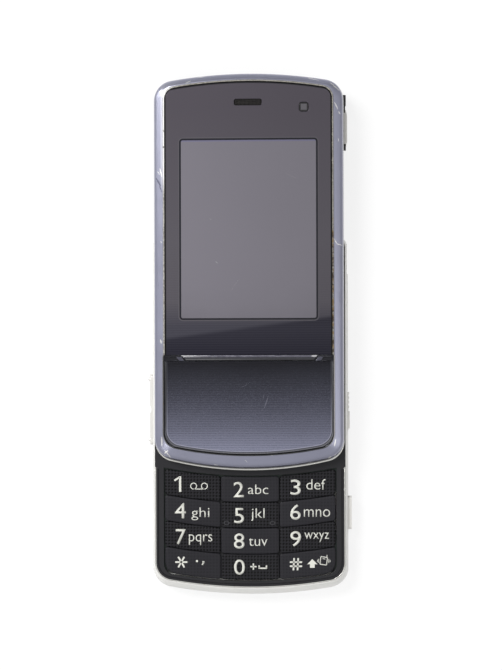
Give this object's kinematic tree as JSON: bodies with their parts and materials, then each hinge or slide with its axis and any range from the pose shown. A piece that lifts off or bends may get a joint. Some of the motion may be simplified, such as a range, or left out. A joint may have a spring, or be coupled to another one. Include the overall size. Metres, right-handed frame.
{
  "type": "slide phone",
  "caption": "Slide phone with its upper half slid open: screen and touch plate in a metallic rim, keypad below, side keys, slide rails and spring inside.",
  "frame": {"origin": "on the table, at the middle of the flat back of the lower half", "axes": "+X across the phone to the camera key's side, +Y along the phone to the earpiece, +Z out of the screen"},
  "size_m": [0.052, 0.1323, 0.0117],
  "materials": {
    "silver_shell": "satin silver paint",
    "black_shell": "black, smooth",
    "bright_trim": "bright, slightly tarnished",
    "key_cap": "black with pale legends",
    "key_mat": "matte",
    "circuit_board": "green board",
    "film": "amber film",
    "steel": "plain",
    "contact_metal": "gold plated",
    "battery_wrap": "dark wrap",
    "dark_plastic": "plain",
    "mesh": "black mesh",
    "rail_plastic": "slippery white",
    "rim": "metallic blue-grey",
    "screen_glass": "smoked",
    "screen": "unlit",
    "touch_metal": "hairlined, dark",
    "lens": "dark"
  },
  "bodies": {
    "lower_half": {"rear_housing": "silver_shell", "front_deck": "black_shell", "keypad_trim": "bright_trim", "battery": "battery_wrap", "battery_contacts": "contact_metal", "main_board": "circuit_board", "dome_sheet": "film", "key_mat": "key_mat", "shield_can": "steel", "card_holder": "steel", "antenna": "contact_metal", "loudspeaker": "dark_plastic", "speaker_mesh": "mesh", "microphone": "steel", "housing_screws": "steel", "rocker_pin": "steel", "side_switches": "dark_plastic", "port_hinge_pin": "steel", "port_connector": "steel", "fixed_slide_plate": "steel", "slide_plate_screws": "steel", "slide_spring": "steel", "flex_cable": "film"},
    "upper_half": {"guide_rails": "rail_plastic", "slider_pan": "steel", "slider_rear_case": "black_shell", "slider_trim": "bright_trim", "slider_bezel": "rim", "screen_glass": "screen_glass", "lcd_module": "screen", "touch_plate": "touch_metal", "touch_ledge": "touch_metal", "touch_board": "circuit_board", "earpiece_mesh": "mesh", "earpiece": "dark_plastic", "front_lens": "lens", "front_camera": "dark_plastic", "camera_window": "lens", "camera_module": "dark_plastic", "strap_bar": "silver_shell", "motor_body": "steel", "slider_screws": "steel"},
    "camera_key": {"camera_key": "silver_shell"},
    "volume_rocker": {"volume_rocker": "silver_shell"},
    "port_cover": {"port_cover": "silver_shell"},
    "battery_cover": {"battery_cover": "silver_shell"},
    "motor_weight": {"motor_weight": "steel"},
    "key_1": {"key_1": "key_cap"},
    "key_2": {"key_2": "key_cap"},
    "key_3": {"key_3": "key_cap"},
    "key_4": {"key_4": "key_cap"},
    "key_5": {"key_5": "key_cap"},
    "key_6": {"key_6": "key_cap"},
    "key_7": {"key_7": "key_cap"},
    "key_8": {"key_8": "key_cap"},
    "key_9": {"key_9": "key_cap"},
    "key_star": {"key_star": "key_cap"},
    "key_0": {"key_0": "key_cap"},
    "key_hash": {"key_hash": "key_cap"}
  },
  "joints": [
    {"name": "slide", "type": "slide", "parent": "lower_half", "child": "upper_half", "axis": [0, -1, 0], "range_m": [0, 0.031], "deforming": ["slide_spring", "flex_cable"]},
    {"name": "key_1_press", "type": "slide", "parent": "lower_half", "child": "key_1", "axis": [0, 0, -1], "range_m": [0, 0.00025], "stiffness_N_per_m": 4000, "springref_m": -0.0001},
    {"name": "key_2_press", "type": "slide", "parent": "lower_half", "child": "key_2", "axis": [0, 0, -1], "range_m": [0, 0.00025], "stiffness_N_per_m": 4000, "springref_m": -0.0001},
    {"name": "key_3_press", "type": "slide", "parent": "lower_half", "child": "key_3", "axis": [0, 0, -1], "range_m": [0, 0.00025], "stiffness_N_per_m": 4000, "springref_m": -0.0001},
    {"name": "key_4_press", "type": "slide", "parent": "lower_half", "child": "key_4", "axis": [0, 0, -1], "range_m": [0, 0.00025], "stiffness_N_per_m": 4000, "springref_m": -0.0001},
    {"name": "key_5_press", "type": "slide", "parent": "lower_half", "child": "key_5", "axis": [0, 0, -1], "range_m": [0, 0.00025], "stiffness_N_per_m": 4000, "springref_m": -0.0001},
    {"name": "key_6_press", "type": "slide", "parent": "lower_half", "child": "key_6", "axis": [0, 0, -1], "range_m": [0, 0.00025], "stiffness_N_per_m": 4000, "springref_m": -0.0001},
    {"name": "key_7_press", "type": "slide", "parent": "lower_half", "child": "key_7", "axis": [0, 0, -1], "range_m": [0, 0.00025], "stiffness_N_per_m": 4000, "springref_m": -0.0001},
    {"name": "key_8_press", "type": "slide", "parent": "lower_half", "child": "key_8", "axis": [0, 0, -1], "range_m": [0, 0.00025], "stiffness_N_per_m": 4000, "springref_m": -0.0001},
    {"name": "key_9_press", "type": "slide", "parent": "lower_half", "child": "key_9", "axis": [0, 0, -1], "range_m": [0, 0.00025], "stiffness_N_per_m": 4000, "springref_m": -0.0001},
    {"name": "key_star_press", "type": "slide", "parent": "lower_half", "child": "key_star", "axis": [0, 0, -1], "range_m": [0, 0.00025], "stiffness_N_per_m": 4000, "springref_m": -0.0001},
    {"name": "key_0_press", "type": "slide", "parent": "lower_half", "child": "key_0", "axis": [0, 0, -1], "range_m": [0, 0.00025], "stiffness_N_per_m": 4000, "springref_m": -0.0001},
    {"name": "key_hash_press", "type": "slide", "parent": "lower_half", "child": "key_hash", "axis": [0, 0, -1], "range_m": [0, 0.00025], "stiffness_N_per_m": 4000, "springref_m": -0.0001},
    {"name": "camera_key_press", "type": "slide", "parent": "lower_half", "child": "camera_key", "axis": [-1, 0, 0], "range_m": [0, 0.00035], "stiffness_N_per_m": 4000, "springref_m": -0.0001},
    {"name": "rocker_tilt", "type": "hinge", "parent": "lower_half", "child": "volume_rocker", "pos_m": [-0.02385, 0.00055, 0.0034], "axis": [0, 0, 1], "range_deg": [-2.5, 2.5], "stiffness_Nm_per_rad": 0.5},
    {"name": "port_cover_swing", "type": "hinge", "parent": "lower_half", "child": "port_cover", "pos_m": [0.0242, 0.00595, 0.0034], "axis": [0, 0, 1], "range_deg": [0, 85]},
    {"name": "battery_cover_slide", "type": "slide", "parent": "lower_half", "child": "battery_cover", "axis": [0, -1, 0], "range_m": [0, 0.004]},
    {"name": "motor_spin", "type": "hinge", "parent": "upper_half", "child": "motor_weight", "pos_m": [-0.0148, 0.07735, 0.00952], "axis": [1, 0, 0], "continuous": true}
  ]
}
